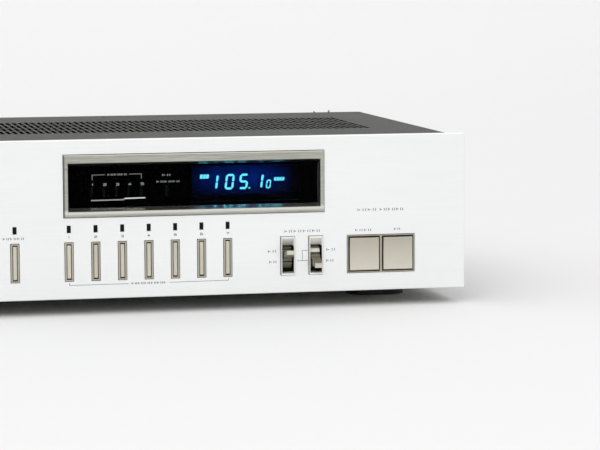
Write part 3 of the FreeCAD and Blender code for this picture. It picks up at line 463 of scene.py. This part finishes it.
FINISHES = {
    "front_panel": face_finish(),
    "front_subchassis": ZINC, "bottom_chassis": ZINC, "transformer_frame": ZINC, "ferrite_bracket": ZINC,
    "rear_panel": REAR_PAINT,
    "top_cover": cover_finish(),
    "cover_screws": SCREW_BLACK, "terminal_screws": SCREW_ZINC,
    "display_bezel": BEZEL,
    "display_window": smoked_finish(),
    "display_mask": BLACK_MASK,
    "vfd_tube": tube_glass_finish(),
    "vfd_anode_plate": anode_finish(),
    "level_leds": level_lamp_finish(), "indicator_leds": LENS,
    "display_board": BOARD, "key_board": BOARD, "main_board": BOARD,
    "display_ribbon": banded("ribbon_grey", srgb(120, 122, 126), srgb(176, 178, 182), "X", 1.27 * MM,
                             (0.45, 0.6)),
    "key_frames": FRAME_PLASTIC, "tune_frame": FRAME_PLASTIC,
    "tact_switches": BLACK_PLASTIC_AND_RECESS_SHADE, "function_switches": SOCKET, "power_switch": SOCKET,
    "lever_frames": surround_finish(), "lever_pins": STEEL_PIN,
    "fm_am_lever": lever_finish("fm_am_lever", 0.0), "mw_lw_lever": lever_finish("mw_lw_lever", 1.0),
    "tune_down_button": BUTTON, "tune_up_button": BUTTON,
    "power_button": BUTTON, "mode_button": BUTTON,
    "transformer_core": banded("iron_laminations", srgb(52, 50, 48), srgb(96, 92, 88), "Y", 0.7 * MM,
                               (0.4, 0.6), 0.7),
    "transformer_winding": banded("winding_tape", srgb(176, 140, 52), srgb(206, 172, 84), "Z", 6 * MM,
                                  (0.35, 0.5)),
    "tuner_shield": TINNED, "if_transformers": TINNED,
    "heat_sink": HEAT_SINK,
    "voltage_regulators": BLACK_PLASTIC_AND_RECESS_SHADE, "integrated_circuits": BLACK_PLASTIC_AND_RECESS_SHADE,
    "filter_capacitors": SLEEVE,
    "output_jacks": NICKEL, "coax_socket": NICKEL,
    "antenna_terminals": SOCKET, "mains_inlet": SOCKET,
    "ferrite_antenna": BLACK_PLASTIC_AND_RECESS_SHADE,
}
for name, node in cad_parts.items():
    if name.startswith("foot_"):
        finish = FOOT
    elif name.startswith("station_button") or name == "memory_button":
        finish = KEY_METAL
    else:
        finish = FINISHES[name]
    if not node.data.materials:
        node.data.materials.append(finish)
    for index in range(len(node.data.materials)):
        node.data.materials[index] = finish

# ---------------------------------------------------------------- printed strokes and their glyphs

GLYPHS = {
    "1": [[(0.25, 0.8), (0.55, 1.0), (0.55, 0.0)]],
    "2": [[(0.0, 1.0), (1.0, 1.0), (1.0, 0.52), (0.0, 0.48), (0.0, 0.0), (1.0, 0.0)]],
    "3": [[(0.0, 1.0), (1.0, 1.0), (1.0, 0.0), (0.0, 0.0)], [(0.25, 0.5), (1.0, 0.5)]],
    "4": [[(1.0, 0.3), (0.0, 0.3), (0.65, 1.0), (0.65, 0.0)]],
    "5": [[(1.0, 1.0), (0.0, 1.0), (0.0, 0.54), (1.0, 0.54), (1.0, 0.0), (0.0, 0.0)]],
    "6": [[(0.95, 1.0), (0.0, 1.0), (0.0, 0.0), (1.0, 0.0), (1.0, 0.54), (0.0, 0.54)]],
    "7": [[(0.0, 1.0), (1.0, 1.0), (0.35, 0.0)]],
}


def stroke(points, width):
    """The outline of an open line of this width, with mitred corners."""
    points = [Vector(p) for p in points]
    left = []
    right = []
    for i, point in enumerate(points):
        before = (point - points[i - 1]).normalized() if i else None
        after = (points[i + 1] - point).normalized() if i + 1 < len(points) else None
        along = ((before or after) + (after or before)).normalized()
        normal = Vector((-along.y, along.x))
        first = before or after
        reach = width / 2 / max(0.35, normal.dot(Vector((-first.y, first.x))))
        left.append(point + normal * reach)
        right.append(point - normal * reach)
    return left + right[::-1]


def glyph(text, x, z, width, height, line):
    """Stroke outlines of one numeral centred at x, z."""
    outlines = []
    for points in GLYPHS[text]:
        placed = [(x + (u - 0.5) * width, z + (v - 0.5) * height) for u, v in points]
        outlines.append(stroke(placed, line))
    return outlines


def mark_row(x0, x1, z, height, count, line=0.34):
    """Marks in place of a word: in turn two upright ticks, and a tick with a dash beside it."""
    step = (x1 - x0) / count
    outlines = []
    for i in range(count):
        start = x0 + i * step
        low = z - height / 2
        high = z + height / 2
        middle = start + step * 0.62
        outlines.append(stroke([(start + step * 0.15, low), (start + step * 0.15, high)], line))
        if i % 2:
            outlines.append(stroke([(middle, low), (middle, high)], line))
        else:
            outlines.append(stroke([(start + step * 0.3, z), (middle, z)], line))
    return outlines


def plates(name, outlines, front, depth, material, body="cabinet"):
    """Flat shapes drawn in the upright plane, in millimetres of the face, extruded back from front."""
    mesh = bmesh.new()
    for outline in outlines:
        near = [mesh.verts.new((x * MM, front, FACE_Z + z * MM)) for x, z in outline]
        far = [mesh.verts.new((v.co.x, front + depth, v.co.z)) for v in near]
        mesh.faces.new(near)
        mesh.faces.new(far[::-1])
        for i, vertex in enumerate(near):
            j = (i + 1) % len(near)
            mesh.faces.new((vertex, far[i], far[j], near[j]))
    bmesh.ops.recalc_face_normals(mesh, faces=mesh.faces)
    return finish_piece(name, mesh, material, body)


def finish_piece(name, mesh, material, body="cabinet", smooth=False):
    data = bpy.data.meshes.new(name)
    mesh.to_mesh(data)
    mesh.free()
    data.materials.append(material)
    piece = bpy.data.objects.new(name, data)
    bpy.context.scene.collection.objects.link(piece)
    if smooth:
        data.polygons.foreach_set("use_smooth", [True] * len(data.polygons))
        data.update()
    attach(piece, body)
    return piece


# ---------------------------------------------------------------- legends of the face

FACE_PRINT_Y = FACE_Y - PRINT_DEPTH
LEGEND_Z = 34.9
NUMERAL_LINE = 0.24
RULE_LINE = 0.22

numbers = []
for number in range(1, STATION_COUNT + 1):
    key_low, key_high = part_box("station_button_%d" % number)
    numbers += glyph(str(number), (key_low.x + key_high.x) / 2 / MM, LEGEND_Z, 1.4, 1.1, NUMERAL_LINE)
plates("legend_station_numbers", numbers, FACE_PRINT_Y, PRINT_DEPTH, PRINT_GREY)

# Each word is left edge, middle height, length, height and number of marks.
WORDS = (
    (-55.6, 34.9, 12.2, 1.3, 6), (16.2, 8.05, 20.0, 1.2, 11), (103.9, 35.1, 21.4, 1.5, 8),
    (94.2, 23.9, 5.6, 1.4, 2), (95.0, 17.8, 5.0, 1.4, 2), (128.2, 24.1, 6.2, 1.4, 2),
    (128.1, 17.8, 5.1, 1.4, 2), (146.5, 46.35, 12.0, 1.5, 4), (159.6, 46.35, 14.6, 1.5, 6),
    (145.2, 34.75, 10.2, 1.2, 4), (168.0, 34.9, 4.3, 1.2, 2),
)
marks = []
for x, z, length, height, count in WORDS:
    marks += mark_row(x, x + length, z, height, count)
plates("legend_marks", marks, FACE_PRINT_Y, PRINT_DEPTH, PRINT_GREY)

RULES = (
    [(-18.7, 9.2), (-18.7, 7.9), (14.6, 7.95)], [(37.8, 8.0), (71.6, 8.2), (71.6, 9.4)],
    [(111.4, 18.1), (117.6, 18.1)], [(114.35, 18.1), (114.35, 24.0), (117.6, 24.0)],
)
rules = [stroke(points, RULE_LINE) for points in RULES]
plates("legend_rules", rules, FACE_PRINT_Y, PRINT_DEPTH, PRINT_GREY)

# ---------------------------------------------------------------- display

# Painted glow: the white and pale print on the mask emits light, standing in for the light falling on it.
WHITE_PRINT_PAINTED_GLOW = glowing("printed_white_painted_glow", srgb(226, 230, 228), srgb(196, 202, 200), 0.9)
GREY_PRINT_PAINTED_GLOW = glowing("printed_pale_painted_glow", srgb(168, 172, 168), srgb(140, 146, 142), 0.75)
MASK_PRINT_Y = MASK_Y - PRINT_DEPTH
STEP_LINE = 0.6

meter = [stroke([(-4.6, 66.4), (-4.6, 69.1), (2.6, 69.15)], RULE_LINE),
         stroke([(16.3, 69.2), (23.2, 69.25), (23.2, 66.6)], RULE_LINE)]
meter += mark_row(4.0, 15.3, 69.15, 1.1, 6)
meter += mark_row(34.9, 40.4, 68.3, 1.1, 2)
meter += mark_row(31.7, 45.4, 64.6, 1.1, 6)
for index in range(LEVEL_COUNT):
    meter += glyph(str(index + 1), -4.5 + 7.05 * index, 63.6, 1.6, 1.15, NUMERAL_LINE)
plates("meter_legend", meter, MASK_PRINT_Y, PRINT_DEPTH, GREY_PRINT_PAINTED_GLOW)
step_low = stroke([(-5.4, 54.8), (13.0, 54.9), (13.6, 55.6)], STEP_LINE)
plates("meter_step_low", [step_low], MASK_PRINT_Y, PRINT_DEPTH, GREY_PRINT_PAINTED_GLOW)
step_high = stroke([(13.6, 55.6), (14.3, 55.6), (25.3, 55.7)], STEP_LINE)
plates("meter_step_high", [step_high], MASK_PRINT_Y, PRINT_DEPTH, WHITE_PRINT_PAINTED_GLOW)

SEGMENTS = {"0": "abcdef", "1": "bc", "5": "acdfg"}
SLANT = 0.14


def segment_digit(text, x, z, width, height, thick):
    """The lit bars of one slanted seven-segment numeral whose lower left corner is x, z."""
    half = height / 2
    gap = thick * 0.02
    bars = {
        "a": ((0, height), (width, height)), "g": ((0, half), (width, half)), "d": ((0, 0), (width, 0)),
        "b": ((width, half), (width, height)), "c": ((width, 0), (width, half)),
        "e": ((0, 0), (0, half)), "f": ((0, half), (0, height)),
    }
    outlines = []
    for key in SEGMENTS[text]:
        start, end = (Vector(p) for p in bars[key])
        along = (end - start).normalized()
        side = Vector((-along.y, along.x)) * thick / 2
        start += along * gap
        end -= along * gap
        tip = along * thick / 2
        shape = [start, start + tip + side, end - tip + side, end, end - tip - side, start + tip - side]
        outlines.append([(x + p.x + SLANT * p.y, z + p.y) for p in shape])
    return outlines


LIT = glowing("lit_phosphor", srgb(120, 242, 252), srgb(54, 216, 248), 2.9)
DIGIT_Y = ANODE_Y - 0.05 * MM
DIGIT_DEPTH = 0.04 * MM
DIGIT_Z = 59.3


def slanted_blocks(x, z, count, pitch, width, height, lean):
    """A row of slanted lit blocks in place of a word, whose lower left corner is x, z."""
    starts = [x + pitch * i for i in range(count)]
    return [[(a, z), (a + width, z), (a + width + lean, z + height), (a + lean, z + height)] for a in starts]


lit = []
for text, x in (("1", 63.0), ("0", 72.3), ("5", 80.4), ("1", 89.1)):
    lit += segment_digit(text, x, DIGIT_Z, 3.9, 7.6, 1.22)
lit += segment_digit("0", 96.0, DIGIT_Z - 0.1, 2.0, 4.3, 0.75)
lit += slanted_blocks(85.6, 58.9, 1, 0.0, 0.9, 0.9, 0.1)
plates("lit_segments", lit, DIGIT_Y, DIGIT_DEPTH, LIT)
unit_marks = slanted_blocks(57.6, 65.2, 3, 1.75, 1.45, 2.3, 0.3)
unit_marks += slanted_blocks(100.4, 63.2, 4, 1.55, 1.3, 1.9, 0.25)
plates("lit_unit_marks", unit_marks, DIGIT_Y, DIGIT_DEPTH, LIT)

# ---------------------------------------------------------------- small fasteners and board parts


def lathed(mesh, profile, place, steps=24, turn=None):
    """Turns a profile of (radius, height) pairs about an axis at place; turn points that axis elsewhere."""
    turn = turn or Matrix.Identity(3)
    rings = []
    for radius, height in profile:
        ring = []
        for i in range(steps):
            angle = 2 * math.pi * i / steps
            point = Vector((radius * math.cos(angle), radius * math.sin(angle), height))
            ring.append(mesh.verts.new(Vector(place) + turn @ point))
        rings.append(ring)
    for low, high in zip(rings, rings[1:]):
        for i in range(steps):
            j = (i + 1) % steps
            mesh.faces.new((low[i], low[j], high[j], high[i]))
    mesh.faces.new(rings[0][::-1])
    mesh.faces.new(rings[-1])


def cross_recess(mesh, place, size, turn, rise):
    """The cross of a screw head as two crossed bars, drawn dark as painted shade for its hollow."""
    for a, b in ((size, size * 0.24), (size * 0.24, size)):
        corners = [(-a, -b), (a, -b), (a, b), (-a, b)]
        low = [mesh.verts.new(Vector(place) + turn @ Vector((u, v, 0))) for u, v in corners]
        high = [mesh.verts.new(Vector(place) + turn @ Vector((u, v, rise))) for u, v in corners]
        mesh.faces.new(high)
        mesh.faces.new(low[::-1])
        for i in range(4):
            j = (i + 1) % 4
            mesh.faces.new((low[i], low[j], high[j], high[i]))


def screw_heads(name, places, outward, radius, height, material, body="cabinet"):
    """Pan heads standing on places, with their cross recesses in painted shade as a second piece."""
    turn = Vector(outward).to_track_quat("Z", "Y").to_matrix()
    heads = bmesh.new()
    crosses = bmesh.new()
    profile = [(radius, 0), (radius, height * 0.35), (radius * 0.93, height * 0.6),
               (radius * 0.75, height * 0.85), (radius * 0.45, height * 0.97), (radius * 0.02, height)]
    for place in places:
        lathed(heads, profile, place, turn=turn)
        cross_recess(crosses, Vector(place) + turn @ Vector((0, 0, height * 0.9)), radius * 0.45, turn,
                     height * 0.1 + 0.02 * MM)
    piece = finish_piece(name, heads, material, body, smooth=True)
    # Painted shade: the recesses are dark crosses standing in for the hollows.
    finish_piece(name + "_recess", crosses, BLACK_PLASTIC_AND_RECESS_SHADE, body)
    return piece


cover_low, cover_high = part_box("top_cover")
screw_low, screw_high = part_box("cover_screws")
head_radius = (screw_high.z - screw_low.z) / 2
head_height = screw_high.x - cover_high.x
screw_z = (screw_low.z + screw_high.z) / 2
screw_ys = (screw_low.y + head_radius, screw_high.y - head_radius)
for side, x, outward in (("left", cover_low.x, (-1, 0, 0)), ("right", cover_high.x, (1, 0, 0))):
    places = [(x, y, screw_z) for y in screw_ys]
    heads = screw_heads("cover_screw_heads_" + side, places, outward, head_radius, head_height, SCREW_BLACK)
    if side == "left":
        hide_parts("cover_screws")

rear_low, rear_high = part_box("rear_panel")
rear_screw_xs = (rear_low.x + 9 * MM, -90 * MM, 0.0, 152 * MM)
rear_screw_zs = (rear_low.z + 5 * MM, rear_high.z - 5 * MM)
rear_places = [(x, REAR_Y, z) for x in rear_screw_xs for z in rear_screw_zs]
screw_heads("rear_panel_screw_heads", rear_places, (0, 1, 0), 2.6 * MM, 1.6 * MM, SCREW_ZINC)

terminal_low, terminal_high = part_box("terminal_screws")
terminal_radius = (terminal_high.z - terminal_low.z) / 2
terminal_pitch = (terminal_high.x - terminal_low.x - 2 * terminal_radius) / (TERMINAL_COUNT - 1)
crosses = bmesh.new()
backward = Vector((0, 1, 0)).to_track_quat("Z", "Y").to_matrix()
for i in range(TERMINAL_COUNT):
    place = (terminal_low.x + terminal_radius + terminal_pitch * i, terminal_high.y - 0.01 * MM,
             terminal_low.z + terminal_radius)
    cross_recess(crosses, place, terminal_radius * 0.55, backward, 0.03 * MM)
# Painted shade: the terminal screw recesses are dark crosses standing in for the hollows.
finish_piece("terminal_screw_recesses", crosses, BLACK_PLASTIC_AND_RECESS_SHADE)

random.seed(11)
board_low, board_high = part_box("main_board")
board_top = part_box("if_transformers")[0].z
occupied = [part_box(name) for name in ("integrated_circuits", "if_transformers", "tuner_shield", "heat_sink",
                                      "filter_capacitors", "voltage_regulators", "display_ribbon")]


def free_places(wanted, clearance, height):
    """Seeded places on the main board that keep clear of the parts already there."""
    places = []
    tries = 0
    while len(places) < wanted and tries < 4000:
        tries += 1
        x = random.uniform(board_low.x + clearance, board_high.x - clearance)
        y = random.uniform(board_low.y + 12 * MM, board_high.y - clearance)
        blocked = any(low.x - clearance < x < high.x + clearance
                      and low.y - clearance < y < high.y + clearance for low, high in occupied)
        if not blocked and all(math.hypot(x - a, y - b) > 2 * clearance for a, b, _ in places):
            places.append((x, y, board_top))
            occupied.append((Vector((x, y, board_top)), Vector((x, y, board_top + height))))
    return places


small_capacitors = bmesh.new()
for place in free_places(22, 4.5 * MM, 11 * MM):
    lathed(small_capacitors, [(2.4 * MM, 0), (2.5 * MM, 0.6 * MM), (2.5 * MM, 9.5 * MM), (2.2 * MM, 10 * MM),
                              (0.05 * MM, 10 * MM)], place, 16)
finish_piece("small_capacitors", small_capacitors, SLEEVE)
resistors = bmesh.new()
lying = Vector((1, 0, 0)).to_track_quat("Z", "Y").to_matrix()
RESISTOR_PROFILE = [(0.05, 0), (1.0, 0.2), (1.1, 1.2), (0.9, 1.8),
                    (0.9, 4.4), (1.1, 5.0), (1.0, 6.0), (0.05, 6.2)]
profile = [(radius * MM, length * MM) for radius, length in RESISTOR_PROFILE]
for x, y, z in free_places(46, 4.0 * MM, 3 * MM):
    lathed(resistors, profile, (x - 3 * MM, y, z + 1.15 * MM), 12, lying)
RESISTOR = banded("resistor_bands", srgb(196, 170, 128), srgb(120, 60, 40), "X", 1.6 * MM, (0.3, 0.45))
finish_piece("resistors", resistors, RESISTOR, smooth=True)

jack_low, jack_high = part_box("output_jacks")
plate_y = REAR_Y + JACK_PLATE
jack_z = (jack_low.z + jack_high.z) / 2
jack_x = (jack_low.x + jack_high.x) / 2
profile = [(4.2 * MM, 0), (6.2 * MM, 0), (6.2 * MM, 0.9 * MM), (5.8 * MM, 1.3 * MM), (4.2 * MM, 1.3 * MM)]
RINGS = (("left", -JACK_OFFSET, srgb(214, 212, 204), srgb(236, 234, 228)),
         ("right", JACK_OFFSET, srgb(150, 26, 26), srgb(190, 40, 36)))
for side, offset, dark, light in RINGS:
    ring = bmesh.new()
    lathed(ring, profile, (jack_x + offset, plate_y, jack_z), 32, backward)
    finish_piece("jack_ring_" + side, ring, surface("ring_" + side, dark, light, (0.3, 0.45)))

# ---------------------------------------------------------------- stage, light and camera


def cyclorama():
    """A pale floor that curves up far behind the object."""
    profile = [(-4.0, 0.0), (1.6, 0.0)]
    radius = 1.2
    for i in range(1, 13):
        angle = math.pi / 2 * i / 12
        profile.append((1.6 + radius * math.sin(angle), radius * (1 - math.cos(angle))))
    profile.append((2.8, 4.0))
    mesh = bmesh.new()
    rows = [[mesh.verts.new((x, y, z)) for x in (-5.0, 5.0)] for y, z in profile]
    for low, high in zip(rows, rows[1:]):
        mesh.faces.new((low[0], low[1], high[1], high[0]))
    data = bpy.data.meshes.new("floor")
    mesh.to_mesh(data)
    mesh.free()
    data.polygons.foreach_set("use_smooth", [True] * len(data.polygons))
    material, tree, shader, place = new_material("studio_floor")
    soft = grain_noise(tree, place, 0.5)
    tree.links.new(blend_colours(tree, soft, srgb(238, 238, 238), srgb(240, 240, 240)),
                   shader.inputs["Base Color"])
    shader.inputs["Roughness"].default_value = 0.8
    shader.inputs["Specular IOR Level"].default_value = 0.2
    shader.inputs["Emission Color"].default_value = (1.0, 1.0, 1.0, 1.0)
    depth = axes_of(tree, place)["Y"]
    tree.links.new(spread(tree, depth, 0.0, 0.14, 0.4, 2.4), shader.inputs["Emission Strength"])
    data.materials.append(material)
    floor = bpy.data.objects.new("floor", data)
    bpy.context.scene.collection.objects.link(floor)


def soft_light(name, place, target, size, power):
    data = bpy.data.lights.new(name, "AREA")
    data.shape = "RECTANGLE"
    data.size, data.size_y = size
    data.energy = power
    lamp = bpy.data.objects.new(name, data)
    lamp.location = place
    lamp.rotation_euler = (Vector(target) - Vector(place)).to_track_quat("-Z", "Y").to_euler()
    bpy.context.scene.collection.objects.link(lamp)


def studio_camera():
    """The camera stands left of the object's centre, a little above it, and looks to the right."""
    right = Vector((0.97818, -0.20770, -0.00421))
    up = Vector((0.02558, 0.10029, 0.99463))
    back = right.cross(up)
    data = bpy.data.cameras.new("camera")
    data.lens = 150.31
    data.sensor_width = 36.0
    camera = bpy.data.objects.new("camera", data)
    rotation = Matrix((right, up, back)).transposed().to_4x4()
    place = Vector((-180.53 * MM, FACE_Y - 1385.86 * MM, FACE_Z + 185.82 * MM))
    camera.matrix_world = Matrix.Translation(place) @ rotation
    bpy.context.scene.collection.objects.link(camera)
    bpy.context.scene.camera = camera


cyclorama()
soft_light("overhead_box", (0.3, 0.2, 1.8), (0.05, 0.1, 0.0), (2.2, 1.6), 7.0)
soft_light("front_box", (-0.5, -1.9, 1.5), (0.1, -0.1, 0.03), (1.6, 1.2), 11.0)
studio_camera()

world = bpy.data.worlds.new("studio")
bpy.context.scene.world = world
world.use_nodes = True
world.node_tree.nodes["Background"].inputs["Color"].default_value = (1.0, 1.0, 1.0, 1.0)
world.node_tree.nodes["Background"].inputs["Strength"].default_value = 0.8
bpy.context.scene.view_settings.view_transform = "Standard"
